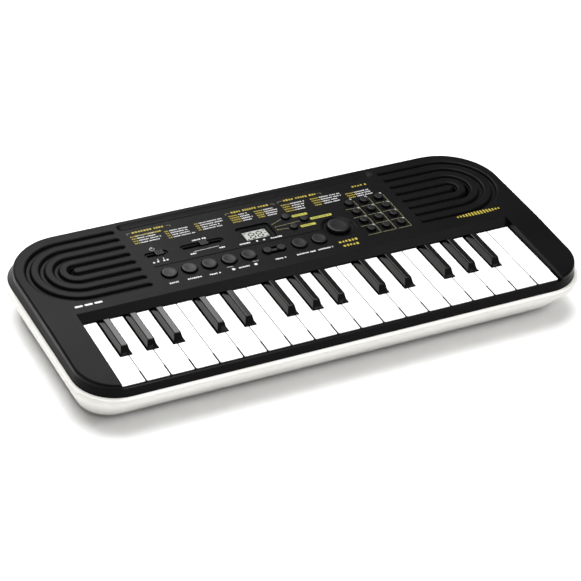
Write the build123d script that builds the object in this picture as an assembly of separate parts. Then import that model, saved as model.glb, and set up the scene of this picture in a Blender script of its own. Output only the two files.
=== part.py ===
from build123d import *
import os
from math import atan2, degrees

# Frame: X to the treble end, Y to the rear, Z up. The origin is under the middle of the case, at floor level.
# All sizes are in millimetres.

# ---- driving dimensions: the case ----
WIDTH = 446.0  # over the rim of the lower case
DEPTH = 208.0
FOOT_HEIGHT = 3.0
SEAM_Z = 34.2  # where the two halves of the case meet
PANEL_RISE = 14.3  # control panel above the seam
RIM_HEIGHT = 4.4  # upright rim of the lower case
RIM_EDGE = 1.6  # rounding along the rim's top edge
FRONT_RADIUS = 38.0  # plan radii of the rim's corners
REAR_RADIUS = 41.0
PANEL_REAR_RADIUS = 53.0  # the panel's rear corners are rounder, measured out to the rim
BASE_INSET_SIDE = 13.0  # how far the base sits inside the rim
BASE_INSET_FRONT = 23.5
BASE_INSET_REAR = 16.0
WALL = 2.2
PANEL_WALL = 2.5
LEDGE = 3.5  # rim that shows outside the upper case
BAND_HEIGHT = 8.1  # sloped band under the cheek line
BAND_LEAN = 2.0
SLAB_OVERHANG = 1.1  # cheek line stands proud of the band
TOP_EDGE = 2.0  # rounding of the top edge
RIM_FLANGE = 2.2  # seat inside the ledge that carries the upper case
CHEEK_DROP_MID = 1.2  # the cheeks fall away towards the player
CHEEK_DROP_FRONT = 3.4
CHEEK_WALL = 2.4

# ---- driving dimensions: the keys ----
WHITE_COUNT = 19
BLACK_GAPS = (1, 2, 3, 5, 6, 8, 9, 10, 12, 13, 15, 16, 17)  # black key n stands over the gap after white key n
BLACK_SHIFT = {1: -1.8, 2: 0.0, 3: 1.8, 5: -1.8, 6: 1.8, 8: -1.8, 9: 0.0, 10: 1.8, 12: -1.8, 13: 1.8, 15: -1.8, 16: 0.0, 17: 1.8}
CHEEK_WIDTH = 31.5  # rim to the end of the keyboard
KEY_RISE = 7.5  # white key tops above the seam
KEY_INSET = 8.4  # rim to the front of the keys
WHITE_LENGTH = 82.0  # white key that shows
WHITE_GAP = 0.7
WHITE_HEIGHT = 8.5
WHITE_TOP = 2.0
KEY_SKIN = 1.2
NOSE_LENGTH = 13.0  # front of a white key, a little narrower
NOSE_RELIEF = 0.3
BLACK_RISE = 7.1
BLACK_LENGTH = 47.5
BLACK_BASE = 8.8
BLACK_CROWN = 5.4
BLACK_RAKE = 3.6  # front face leans back by this much
BLACK_SHOULDER = 7.0  # rear end slopes down over this length
BLACK_CLEAR = 0.9  # around a black key
BLACK_DEPTH = 9.0  # black key body below the white tops
KEY_CLEAR = 0.6
KEY_TO_PIVOT = 27.6  # hidden length, from the panel wall to the hinge
PIVOT_DROP = 5.7  # hinge below the white tops
WHITE_ARM = 6.4
BLACK_ARM = 5.0
ARM_HEIGHT = 5.0
ARM_DROP = 2.7  # arm tops below the white tops
EYE_RADIUS = 3.2
BAR_RADIUS = 1.5
BAR_CLEAR = 0.05
CLIP_MOUTH = 2.2
RAIL_CLEAR = 1.4
RAIL_DROP = 0.8  # front rail below the white tops
RIB = 1.2

# ---- driving dimensions: the panel ----
PANEL_SLOPE = 6.0  # the wall behind the keys leans by this much
GROOVE_PITCH = 11.1
GROOVE_WIDTH = 5.0
GROOVE_DEPTH = 2.6
GRILLE_PAD = 1.6  # extra thickness under each grille
GROOVE_TAPER = 25.0
GROOVE_COUNT = 4
GRILLE_TO_REAR = 56.3  # grille centre to the rear rim
GRILLE_TO_SIDE = 54.0
GRILLE_LENGTH = 45.0  # straight part of each groove
SLOT_WIDTH = 1.8
TROUGH_DEPTH = 1.6
TROUGH_RADIUS = 7.0
TROUGH_TO_REAR = 14.0
TROUGH_LENGTH = 226.0
ROW_OFFSET = 24.3  # from the panel's front edge to the button row
ROW_X = (-103.2, -85.7, -68.4, -51.0, -33.6, 12.0, 30.0)
ROW_RADIUS = 6.4
ROW_PROUD = 1.8
ROCKER_X = -10.75
ROCKER_SPAN = 12.2
ROCKER_RADIUS = 3.7
ROCKER_WEB = 3.0
ROCKER_PIN = 0.9
ROCKER_GAP = 0.8
ROCKER_DROP = 1.3  # rocker plate below the panel
MODE_SPOTS = ((18.6, 63.4), (31.9, 55.8), (18.8, 48.2))  # x, and distance behind the panel's front edge
MODE_RADIUS = 3.5
MODE_PROUD = 1.8
START_X = 53.5
START_OFFSET = 35.6
START_RADIUS = 9.8
START_PROUD = 2.1
WELL_RADIUS = 14.6
WELL_DEPTH = 1.6
WELL_FLOOR_RADIUS = 12.4
PAD_X = 91.3
PAD_OFFSET = 42.3
PAD_PITCH_X = 14.0
PAD_PITCH_Y = 13.3
PAD_RADIUS = 3.7
PAD_PROUD = 2.5
STEP_X = (-111.0, 39.0)
STEP_OFFSET = 36.0
STEP_WIDTH = 0.9
STEP_DEPTH = 0.5
SCREEN_X = (-28.5, 1.0)  # recess around the display
SCREEN_Y = (39.5, 63.0)
SCREEN_DEPTH = 1.6
SCREEN_RAMP = 4.0
SCREEN_CORNER = 3.0
WINDOW_SIZE = (21.5, 13.0)
WINDOW_CENTRE = (-13.3, 53.0)
WINDOW_THICK = 1.2
POWER_X = -101.9
POWER_KNOB_X = -99.7
POWER_SLOT = 20.0
VOLUME_X = -61.7
VOLUME_KNOB_X = -60.6
VOLUME_SLOT = 38.0
SLIDER_OFFSET = 53.3
SLIDER_WIDTH = 6.6
SLIDER_DEPTH = 1.2
SLIDER_KNOB = 7.0
SLIDER_STEM = 2.2
FIT = 0.3  # round a slider, window or fastener in its hole
BUTTON_GAP = 0.45  # round a button in its hole
FLANGE = 1.0
FLANGE_THICK = 1.0
FLANGE_CLEAR = 0.1
BUTTON_TRAVEL = 1.5

# ---- driving dimensions: inside, underneath and behind ----
BOARD_DROP = 6.9  # main board's top below the panel's top
BOARD_THICK = 1.6
BOARD_X = 226.0
BOARD_Y = (12.0, 88.0)
POST_SPOT = (109.5, 3.0)  # board posts: x, and distance inside the board's long edges
POST_RADIUS = 2.5
FRAME_DROP = 17.7  # key frame plate below the white tops
FRAME_THICK = 2.0
FRAME_SIDE = 2.0
POST_HEIGHT = 9.5  # guide posts that reach up into the white keys
CONTACT_OFFSET = 52.6  # contact strip in front of the keys' front edge line
CONTACT_WIDTH = 26.0
DOME_RADIUS = 4.0
DOME_HEIGHT = 3.4  # pressed
SPEAKER_OFFSET = 19.0  # speaker centre inside the grille centre
SPEAKER_RADIUS = 26.0
SPEAKER_DEPTH = 22.0
MAGNET_RADIUS = 15.0
BOX_X = 112.0  # battery space
BOX_Y = 46.0
BOX_HEIGHT = 16.0
BOX_TO_REAR = 53.0  # centre of the battery space to the rear rim
DOOR_THICK = 2.0
DOOR_GAP = 0.3
DOOR_LAP = 3.0
DOOR_TONGUE = 1.2  # thin rails along the door, in grooves
DOOR_LIP = 1.0
DOOR_TRAVEL = 11.0
JACK_X = 60.0
INLET_X = 86.0
JACK_BORE = 1.8
JACK_DEPTH = 12.0
INLET_BORE = 2.9
INLET_PIN = 0.9
COLLAR_RADIUS = 3.0
JACK_BODY = (11.0, 13.0, 7.0)
FOOT_RADIUS = 6.5
FOOT_TO_EDGE = (45.0, 33.0, 28.0)  # from the side, front and rear of the rim
SCREW_TO_SIDE = 20.0
SCREW_TO_FRONT = 59.0
SCREW_BEHIND_EDGE = 27.6  # side screws behind the panel's front edge
SCREW_REAR_X = 120.0
SCREW_TO_REAR = 24.0
SCREW_RADIUS = 1.45
SCREW_HEAD = 2.8
SCREW_HEAD_DEPTH = 2.0
SCREW_LENGTH = 24.0
PILOT_CLEAR = 0.05
BOSS_RADIUS = 4.0
BOSS_JOINT_Z = 18.0

# ---- worked-out places ----
Y_FRONT = -DEPTH / 2
Y_REAR = DEPTH / 2
PANEL_Z = SEAM_Z + PANEL_RISE
KEY_Z = SEAM_Z + KEY_RISE
KEY_FRONT = Y_FRONT + KEY_INSET
KEY_REAR = KEY_FRONT + WHITE_LENGTH  # where the keys go under the panel
PANEL_Y = KEY_REAR + PANEL_SLOPE  # front edge of the panel
KEYBED_HALF = WIDTH / 2 - CHEEK_WIDTH
WHITE_PITCH = 2 * KEYBED_HALF / WHITE_COUNT
PIVOT_Y = KEY_REAR + KEY_TO_PIVOT
PIVOT_Z = KEY_Z - PIVOT_DROP
PANEL_UNDER = PANEL_Z - PANEL_WALL
BOARD_Z = PANEL_Z - BOARD_DROP
FRAME_Z = KEY_Z - FRAME_DROP
FLOOR_Z = FOOT_HEIGHT + WALL
GRILLE_X = WIDTH / 2 - GRILLE_TO_SIDE
GRILLE_Y = Y_REAR - GRILLE_TO_REAR
SLIDER_Y = PANEL_Y + SLIDER_OFFSET
BOX_TOP = FLOOR_Z + DOOR_THICK + BOX_HEIGHT
BOX_CENTRE = (0.0, Y_REAR - BOX_TO_REAR)
SPEAKER_X = GRILLE_X - SPEAKER_OFFSET


def outline(side, front, rear, z, radius_change=0.0, rear_radius=REAR_RADIUS):
    """Rounded plan outline of the case, pulled in from the rim."""
    width = WIDTH - 2 * side
    depth = DEPTH - front - rear
    face = Pos(0, (front - rear) / 2, 0) * Rectangle(width, depth)
    front_corners = face.vertices().group_by(Axis.Y)[0]
    face = fillet(front_corners, FRONT_RADIUS - radius_change)
    top_y = Y_REAR - rear
    rear_corners = [v for v in face.vertices() if abs(v.Y - top_y) < 0.01]
    face = fillet(rear_corners, rear_radius - radius_change)
    return Pos(0, 0, z) * face


def even_outline(inset, z):
    """Outline pulled in by the same amount all round."""
    return outline(inset, inset, inset, z, inset)


def panel_outline(inset, z):
    """The same for the upper case above its seam, with rounder rear corners."""
    return outline(inset, inset, inset, z, inset, PANEL_REAR_RADIUS)


def block(x0, x1, y0, y1, z0, z1):
    """Box between two corners."""
    return Pos((x0 + x1) / 2, (y0 + y1) / 2, (z0 + z1) / 2) * Box(x1 - x0, y1 - y0, z1 - z0)


def rod(x, y, z0, z1, radius):
    """Upright cylinder."""
    return Pos(x, y, (z0 + z1) / 2) * Cylinder(radius, z1 - z0)


def across(x0, x1, points):
    """Prism along X from a list of (y, z) points."""
    face = make_face(Polyline(*[(x0, y, z) for y, z in points], close=True))
    return extrude(face, amount=x1 - x0, dir=(1, 0, 0))


def pill(x, y, z0, z1, span, radius):
    """Upright prism with round ends, span between the end centres along X."""
    shape = Pos(x, y, z0) * SlotCenterToCenter(span, 2 * radius)
    return extrude(shape, amount=z1 - z0)


def white_x(index):
    """Centre of white key 1..19."""
    return (index - (WHITE_COUNT + 1) / 2) * WHITE_PITCH


def black_x(gap):
    """Centre of the black key over a gap."""
    return (gap - WHITE_COUNT / 2) * WHITE_PITCH + BLACK_SHIFT[gap]


def pad_spots():
    """Centres of the twelve number-pad buttons."""
    middle = PANEL_Y + PAD_OFFSET
    return [(PAD_X + i * PAD_PITCH_X, middle + (1.5 - j) * PAD_PITCH_Y) for j in range(4) for i in (-1, 0, 1)]


def mode_spots():
    """Centres of the three mode buttons."""
    return [(x, PANEL_Y + offset) for x, offset in MODE_SPOTS]


def row_spots():
    """Centres of the seven row buttons."""
    return [(x, PANEL_Y + ROW_OFFSET) for x in ROW_X]


def screw_spots():
    """Centres of the case screws."""
    side_x = WIDTH / 2 - SCREW_TO_SIDE
    spots = [(side_x, Y_FRONT + SCREW_TO_FRONT), (side_x, PANEL_Y + SCREW_BEHIND_EDGE)]
    spots.append((SCREW_REAR_X, Y_REAR - SCREW_TO_REAR))
    return [(side * x, y) for x, y in spots for side in (-1, 1)]


def post_spots():
    """Centres of the posts that the main board hangs from."""
    x, inside = POST_SPOT
    return [(side * x, PANEL_Y + y) for side in (-1, 1) for y in (BOARD_Y[0] + inside, BOARD_Y[1] - inside)]


def foot_spots():
    """Centres of the feet."""
    side, front, rear = FOOT_TO_EDGE
    x = WIDTH / 2 - side
    return [(-x, Y_FRONT + front), (x, Y_FRONT + front), (-x, Y_REAR - rear), (x, Y_REAR - rear)]


# ---- the lower case ----
def lower_case():
    rim_z = SEAM_Z - RIM_HEIGHT
    base = outline(BASE_INSET_SIDE, BASE_INSET_FRONT, BASE_INSET_REAR, FOOT_HEIGHT, BASE_INSET_SIDE)
    hull = loft([base, even_outline(0, rim_z)])
    rim = extrude(even_outline(0, rim_z), amount=RIM_HEIGHT)
    rim = fillet(rim.edges().group_by(Axis.Z)[-1], RIM_EDGE)
    inner_base = outline(
        BASE_INSET_SIDE + WALL, BASE_INSET_FRONT + WALL, BASE_INSET_REAR + WALL, FLOOR_Z, BASE_INSET_SIDE + WALL
    )
    inset = LEDGE + RIM_FLANGE
    hollow = loft([inner_base, even_outline(inset, rim_z)])
    hollow += extrude(even_outline(inset, rim_z), amount=RIM_HEIGHT + 1)
    case = hull + rim - hollow
    case = case + battery_box() - battery_door_recess()
    for x, y in screw_spots():
        case += rod(x, y, FLOOR_Z - 1, BOSS_JOINT_Z, BOSS_RADIUS)
        case -= rod(x, y, 0, BOSS_JOINT_Z + 1, SCREW_RADIUS + FIT)
        case -= rod(x, y, 0, FOOT_HEIGHT + SCREW_HEAD_DEPTH + FIT, SCREW_HEAD + FIT)
    return case


def battery_box():
    """Walls round the battery space, standing on the floor of the lower case."""
    x, y = BOX_CENTRE
    half_x, half_y = BOX_X / 2 + WALL, BOX_Y / 2 + WALL
    floor_top = FOOT_HEIGHT + DOOR_THICK + DOOR_GAP
    raised = block(
        x - half_x - DOOR_LAP - WALL,
        x + half_x + DOOR_LAP + WALL + DOOR_TRAVEL,
        y - half_y - DOOR_LAP - DOOR_TONGUE - WALL,
        y + half_y + DOOR_LAP + DOOR_TONGUE + WALL,
        FOOT_HEIGHT,
        floor_top + WALL,
    )
    walls = block(x - half_x, x + half_x, y - half_y, y + half_y, FOOT_HEIGHT, BOX_TOP + WALL)
    return raised + walls


def battery_door_recess():
    """Battery space, and the shallow recess that the door lies and slides in."""
    x, y = BOX_CENTRE
    half_x, half_y = BOX_X / 2, BOX_Y / 2
    space = block(x - half_x, x + half_x, y - half_y, y + half_y, 0, BOX_TOP)
    door_x, door_y = door_half()
    recess = block(
        x - door_x - DOOR_GAP,
        x + door_x + DOOR_GAP + DOOR_TRAVEL,
        y - door_y - DOOR_GAP,
        y + door_y + DOOR_GAP,
        0,
        FOOT_HEIGHT + DOOR_THICK + DOOR_GAP,
    )
    wide = door_y + DOOR_TONGUE + DOOR_GAP
    grooves = block(
        x - door_x - DOOR_GAP,
        x + door_x + DOOR_GAP + DOOR_TRAVEL,
        y - wide,
        y + wide,
        FOOT_HEIGHT + DOOR_LIP - DOOR_GAP / 2,
        FOOT_HEIGHT + DOOR_THICK + DOOR_GAP,
    )
    return space + recess + grooves


def door_half():
    """Half sizes of the battery door."""
    return BOX_X / 2 + WALL + DOOR_LAP, BOX_Y / 2 + WALL + DOOR_LAP


def battery_door():
    x, y = BOX_CENTRE
    half_x, half_y = door_half()
    door = block(x - half_x, x + half_x, y - half_y, y + half_y, FOOT_HEIGHT, FOOT_HEIGHT + DOOR_THICK)
    wide = half_y + DOOR_TONGUE
    door += block(x - half_x, x + half_x, y - wide, y + wide, FOOT_HEIGHT + DOOR_LIP, FOOT_HEIGHT + DOOR_THICK)
    for i in range(5):
        place = x + half_x - 8 - 3.0 * i
        door -= block(place - 0.6, place + 0.6, y - 12, y + 12, FOOT_HEIGHT - 1, FOOT_HEIGHT + 0.7)
    return door


def feet():
    return [rod(x, y, 0, FOOT_HEIGHT, FOOT_RADIUS) for x, y in foot_spots()]


def case_screws():
    head_z = FOOT_HEIGHT + FIT
    screws = []
    for x, y in screw_spots():
        head = rod(x, y, head_z, head_z + SCREW_HEAD_DEPTH, SCREW_HEAD)
        head -= block(x - 0.4, x + 0.4, y - 1.8, y + 1.8, 0, head_z + 0.8)
        head -= block(x - 1.8, x + 1.8, y - 0.4, y + 0.4, 0, head_z + 0.8)
        screws.append(head + rod(x, y, head_z, head_z + SCREW_LENGTH, SCREW_RADIUS))
    return screws


# ---- the upper case ----
def cheek_curve(drop_extra=0.0):
    """Height line of the cheeks, from the panel to the front, as (y, z) points."""
    top = PANEL_Z - drop_extra
    middle = (PANEL_Y + Y_FRONT) / 2
    return [(PANEL_Y, top), (middle, top - CHEEK_DROP_MID), (Y_FRONT, top - CHEEK_DROP_FRONT)]


def above_cheeks(drop_extra=0.0):
    """Everything above the curved cheek tops, for cutting."""
    start, middle, end = cheek_curve(drop_extra)
    far = WIDTH
    curve = Spline([(-far, *start), (-far, *middle), (-far, *end)], tangents=((0, -1, 0), (0, -1, -0.1)))
    high = PANEL_Z + 30
    edge = curve + Polyline((-far, *end), (-far, Y_FRONT - 20, end[1]), (-far, Y_FRONT - 20, high), (-far, PANEL_Y, high), (-far, *start))
    return extrude(make_face(edge), amount=2 * far, dir=(1, 0, 0))


def key_opening():
    """Space over the keys: open to the front, with a sloped wall behind."""
    half = KEYBED_HALF + KEY_CLEAR
    low = SEAM_Z - 5
    high = PANEL_Z + 10
    rail_back = KEY_FRONT - RAIL_CLEAR
    wall_foot = KEY_Z + KEY_CLEAR
    return across(
        -half,
        half,
        [
            (rail_back, low),
            (KEY_REAR, low),
            (KEY_REAR, wall_foot),
            (PANEL_Y, PANEL_Z),
            (PANEL_Y, high),
            (Y_FRONT - 10, high),
            (Y_FRONT - 10, KEY_Z - RAIL_DROP),
            (rail_back, KEY_Z - RAIL_DROP),
        ],
    )


def upper_hollow():
    """Inside of the upper case: under the panel, and inside each cheek."""
    inset = LEDGE + BAND_LEAN + WALL
    low = SEAM_Z - 1
    body = extrude(panel_outline(inset, low), amount=PANEL_UNDER - low)
    behind = Y_REAR + 10
    room = across(
        -WIDTH,
        WIDTH,
        [
            (KEY_REAR + WALL, low),
            (KEY_REAR + WALL, KEY_Z + KEY_CLEAR),
            (PANEL_Y + WALL, PANEL_UNDER),
            (behind, PANEL_UNDER),
            (behind, low),
        ],
    )
    under_panel = body & room
    inner = KEYBED_HALF + KEY_CLEAR + CHEEK_WALL
    side = block(inner, WIDTH, Y_FRONT, PANEL_Y + WALL, low, PANEL_UNDER - CHEEK_DROP_FRONT - 1)
    sides = (body & side) + (body & mirror(side, about=Plane.YZ))
    mouth_half = KEYBED_HALF + KEY_CLEAR
    key_way = block(-mouth_half, mouth_half, KEY_REAR - 1, PANEL_Y + WALL + 1, low, KEY_Z + KEY_CLEAR)
    return under_panel + sides + key_way


def groove(index, side):
    """Plan of one U-shaped grille groove."""
    radius = (index + 0.5) * GROOVE_PITCH
    arc = CenterArc((0, 0), radius, 90, 180)
    end = GRILLE_LENGTH
    path = Line((end, radius), (0, radius)) + arc + Line((0, -radius), (end, -radius))
    band = trace(path, GROOVE_WIDTH)
    caps = [Pos(end, y) * Circle(GROOVE_WIDTH / 2) for y in (radius, -radius)]
    plan = band + caps[0] + caps[1]
    if side > 0:
        plan = mirror(plan, about=Plane.YZ)
    return Pos(side * GRILLE_X, GRILLE_Y, PANEL_Z) * plan


def grille_pad(side):
    """Thicker patch under a grille, round at its outer end."""
    radius = GROOVE_COUNT * GROOVE_PITCH - 1.4
    low, high = PANEL_UNDER - GRILLE_PAD, PANEL_UNDER + 0.5
    near = GRILLE_X - GRILLE_LENGTH - 4
    x0, x1 = sorted((side * near, side * GRILLE_X))
    return rod(side * GRILLE_X, GRILLE_Y, low, high, radius) + block(x0, x1, GRILLE_Y - radius, GRILLE_Y + radius, low, high)


def grille_cuts():
    """Grooves of both grilles, and the sound slots in their floors."""
    cuts = []
    slot_start = GRILLE_X - GRILLE_LENGTH + 6
    slot_half = (GRILLE_LENGTH - 16) / 2
    for side in (-1, 1):
        for index in range(GROOVE_COUNT):
            cuts.append(extrude(groove(index, side), amount=-GROOVE_DEPTH, taper=GROOVE_TAPER))
            for sign in (-1, 1):
                if index < GROOVE_COUNT - 1:
                    y = GRILLE_Y + sign * (index + 0.5) * GROOVE_PITCH
                    x = side * (slot_start + slot_half)
                    cuts.append(pill(x, y, PANEL_UNDER - GRILLE_PAD - 1, PANEL_Z, 2 * slot_half, SLOT_WIDTH / 2))
    return cuts


def trough_cut():
    """Long shallow trough along the rear of the panel."""
    y = Y_REAR - TROUGH_TO_REAR
    z = PANEL_Z + TROUGH_RADIUS - TROUGH_DEPTH
    half = TROUGH_LENGTH / 2
    bar = Pos(0, y, z) * Rot(0, 90, 0) * Cylinder(TROUGH_RADIUS, 2 * half)
    return bar + Pos(-half, y, z) * Sphere(TROUGH_RADIUS) + Pos(half, y, z) * Sphere(TROUGH_RADIUS)


def button_cuts():
    """Holes for every button, the start/stop well, and the slider pockets."""
    through = (PANEL_UNDER - 3, PANEL_Z + 1)
    cuts = [rod(x, y, *through, ROW_RADIUS + BUTTON_GAP) for x, y in row_spots()]
    cuts += [rod(x, y, *through, MODE_RADIUS + BUTTON_GAP) for x, y in mode_spots()]
    cuts += [rod(x, y, *through, PAD_RADIUS + BUTTON_GAP) for x, y in pad_spots()]
    cuts.append(pill(ROCKER_X, PANEL_Y + ROW_OFFSET, *through, ROCKER_SPAN, ROCKER_RADIUS + ROCKER_GAP))
    start_y = PANEL_Y + START_OFFSET
    cuts.append(rod(START_X, start_y, *through, START_RADIUS + BUTTON_GAP))
    well = Pos(START_X, start_y, PANEL_Z - WELL_DEPTH / 2) * Cone(WELL_FLOOR_RADIUS, WELL_RADIUS, WELL_DEPTH)
    cuts.append(well)
    for x, span in ((POWER_X, POWER_SLOT), (VOLUME_X, VOLUME_SLOT)):
        inner = span - SLIDER_WIDTH
        cuts.append(pill(x, SLIDER_Y, PANEL_Z - SLIDER_DEPTH, PANEL_Z + 1, inner, SLIDER_WIDTH / 2))
        cuts.append(pill(x, SLIDER_Y, *through, inner, SLIDER_STEM / 2 + FIT))
    return cuts


def screen_cuts():
    """Recess round the display, with a ramp at its front, and the window hole."""
    x0, x1 = SCREEN_X
    y0, y1 = PANEL_Y + SCREEN_Y[0], PANEL_Y + SCREEN_Y[1]
    floor = PANEL_Z - SCREEN_DEPTH
    recess = across(x0, x1, [(y0, PANEL_Z), (y0 + SCREEN_RAMP, floor), (y1, floor), (y1, PANEL_Z + 1), (y0, PANEL_Z + 1)])
    corners = [e for e in recess.edges().filter_by(Axis.Z) if e.center().Y > y1 - 1]
    recess = fillet(corners, SCREEN_CORNER)
    x, y = WINDOW_CENTRE[0], PANEL_Y + WINDOW_CENTRE[1]
    half_x, half_y = WINDOW_SIZE[0] / 2 + FIT, WINDOW_SIZE[1] / 2 + FIT
    hole = block(x - half_x, x + half_x, y - half_y, y + half_y, PANEL_UNDER - 3, PANEL_Z)
    return [recess, hole]


def step_cut():
    """Fine groove across the panel, behind the button row."""
    x0, x1 = STEP_X
    y = PANEL_Y + STEP_OFFSET
    return block(x0, x1, y, y + STEP_WIDTH, PANEL_Z - STEP_DEPTH, PANEL_Z + 1)


def socket_holes():
    """Holes in the rear wall for the headphone socket and the power inlet."""
    z = SEAM_Z + BAND_HEIGHT / 2
    return [Pos(x, Y_REAR - 5, z) * Rot(90, 0, 0) * Cylinder(COLLAR_RADIUS + FIT, 20) for x in (JACK_X, INLET_X)]


def upper_case():
    band_top = SEAM_Z + BAND_HEIGHT
    band = loft([even_outline(LEDGE, SEAM_Z), panel_outline(LEDGE + BAND_LEAN, band_top)])
    slab = extrude(panel_outline(LEDGE + BAND_LEAN - SLAB_OVERHANG, band_top), amount=PANEL_Z - band_top)
    slab -= above_cheeks()
    rounded = [e for e in slab.edges() if e.bounding_box().min.Z > band_top + 0.5 and not inner_line(e)]
    slab = fillet(rounded, TOP_EDGE)
    case = band + slab
    case -= key_opening()
    case -= upper_hollow()
    window_pad = block(
        SCREEN_X[0] - WALL, SCREEN_X[1] + WALL, PANEL_Y + SCREEN_Y[0], PANEL_Y + SCREEN_Y[1] + WALL,
        PANEL_UNDER - 1.2, PANEL_UNDER + 0.5,
    )
    case += window_pad
    well_pad = rod(START_X, PANEL_Y + START_OFFSET, PANEL_UNDER - 1, PANEL_UNDER + 0.2, WELL_RADIUS + 1)
    case += well_pad
    for x, y in post_spots():
        case += rod(x, y, BOARD_Z, PANEL_UNDER + 0.5, POST_RADIUS)
    for side in (-1, 1):
        case += grille_pad(side)
    for x, y in screw_spots():
        roof = PANEL_UNDER if y > PANEL_Y else PANEL_UNDER - CHEEK_DROP_FRONT - 1
        case += rod(x, y, BOSS_JOINT_Z, roof + 0.5, BOSS_RADIUS)
        case -= rod(x, y, BOSS_JOINT_Z - 1, FOOT_HEIGHT + FIT + SCREW_LENGTH + 1, SCREW_RADIUS + PILOT_CLEAR)
    for cut in grille_cuts() + button_cuts() + screen_cuts() + [trough_cut(), step_cut()] + socket_holes():
        case -= cut
    return case


def inner_line(edge):
    """True for the straight line across the slab where the cheek curve starts."""
    box = edge.bounding_box()
    return box.size.Y < 0.01 and box.size.X > WIDTH / 2 and abs(box.min.Y - PANEL_Y) < 0.01


# ---- the keys ----
def white_plan(index, shrink=0.0):
    """Plan of a white key: wide at the front, cut away beside its black neighbours."""
    x = white_x(index)
    half = (WHITE_PITCH - WHITE_GAP) / 2
    notch_y = KEY_REAR - BLACK_LENGTH - BLACK_CLEAR
    left, right = -half, half
    if index - 1 in BLACK_GAPS:
        left = black_x(index - 1) + BLACK_BASE / 2 + BLACK_CLEAR - x
    if index in BLACK_GAPS:
        right = black_x(index) - BLACK_BASE / 2 - BLACK_CLEAR - x
    nose = half - NOSE_RELIEF
    front = KEY_FRONT + shrink
    rear = KEY_REAR + KEY_CLEAR + WALL - shrink
    nose_y = KEY_FRONT + NOSE_LENGTH
    points = [
        (-nose + shrink, front),
        (nose - shrink, front),
        (nose - shrink, nose_y),
        (half - shrink, nose_y),
        (half - shrink, notch_y - shrink),
        (right - shrink, notch_y - shrink),
        (right - shrink, rear),
        (left + shrink, rear),
        (left + shrink, notch_y - shrink),
        (-half + shrink, notch_y - shrink),
        (-half + shrink, nose_y),
        (-nose + shrink, nose_y),
    ]
    clean = [p for i, p in enumerate(points) if p != points[i - 1]]
    return Pos(x, 0, 0) * make_face(Polyline(*clean, close=True))


def key_arm(x, width, y_start):
    """Rear arm with the clip that turns on the hinge bar."""
    top = KEY_Z - ARM_DROP
    arm = block(x - width / 2, x + width / 2, y_start, PIVOT_Y, top - ARM_HEIGHT, top)
    eye = Pos(x, PIVOT_Y, PIVOT_Z) * Rot(0, 90, 0) * Cylinder(EYE_RADIUS, width)
    bore = Pos(x, PIVOT_Y, PIVOT_Z) * Rot(0, 90, 0) * Cylinder(BAR_RADIUS + BAR_CLEAR, width + 2)
    half = CLIP_MOUTH / 2
    mouth = block(x - width, x + width, PIVOT_Y - half, PIVOT_Y + half, PIVOT_Z - EYE_RADIUS - 1, PIVOT_Z)
    return arm + eye - bore - mouth


def white_key(index):
    x = white_x(index)
    low = KEY_Z - WHITE_HEIGHT
    body = extrude(Pos(0, 0, low) * white_plan(index), amount=WHITE_HEIGHT)
    front_posts = [e for e in body.edges().filter_by(Axis.Z) if abs(e.center().Y - KEY_FRONT) < 0.1]
    body = fillet(front_posts, 1.2)
    rim = [e for e in body.edges().group_by(Axis.Z)[-1] if e.center().Y < KEY_FRONT + 2]
    body = fillet(rim, 0.5)
    room = extrude(Pos(0, 0, low - 1) * white_plan(index, KEY_SKIN), amount=WHITE_HEIGHT + 1 - WHITE_TOP)
    rib_y = KEY_FRONT + CONTACT_OFFSET
    rib_half = WHITE_ARM / 2 - KEY_SKIN
    rib = block(x - rib_half, x + rib_half, rib_y - KEY_SKIN, rib_y + KEY_SKIN, low, KEY_Z - WHITE_TOP + 0.5)
    arm = key_arm(x, WHITE_ARM, KEY_REAR - 2)
    under_wall = KEY_REAR - 0.5
    slot = block(x - WHITE_PITCH, x + WHITE_PITCH, under_wall, PIVOT_Y + 10, KEY_Z - ARM_DROP, KEY_Z + 1)
    return body - room + rib + arm - slot


def black_key(gap):
    x = black_x(gap)
    front = KEY_REAR - BLACK_LENGTH
    rear = KEY_REAR - 1.0
    top = KEY_Z + BLACK_RISE
    base_z = KEY_Z - 1.0
    crown_front = front + BLACK_RAKE
    crown_rear = rear - BLACK_SHOULDER
    middle = (front + rear) / 2
    crown_middle = (crown_front + crown_rear) / 2
    foot = Pos(x, middle, base_z) * Rectangle(BLACK_BASE, rear - front)
    crown = Pos(x, crown_middle, top) * Rectangle(BLACK_CROWN, crown_rear - crown_front)
    cap = loft([foot, crown])
    cap = fillet([e for e in cap.edges() if e.center().Z > KEY_Z + 1], 0.9)
    low = KEY_Z - BLACK_DEPTH
    half = BLACK_BASE / 2
    body = block(x - half, x + half, front, rear, low, base_z)
    inner = half - KEY_SKIN
    room = block(x - inner, x + inner, front + KEY_SKIN, rear - KEY_SKIN, low - 1, base_z)
    rib_y = KEY_FRONT + CONTACT_OFFSET
    rib = block(x - half, x + half, rib_y - KEY_SKIN, rib_y + KEY_SKIN, low, base_z + 0.5)
    return cap + (body - room) + rib + key_arm(x, BLACK_ARM, rear - 1.5)


# ---- inside ----
def key_places():
    """Centres of all the keys from left to right."""
    return sorted([white_x(i) for i in range(1, WHITE_COUNT + 1)] + [black_x(g) for g in BLACK_GAPS])


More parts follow.
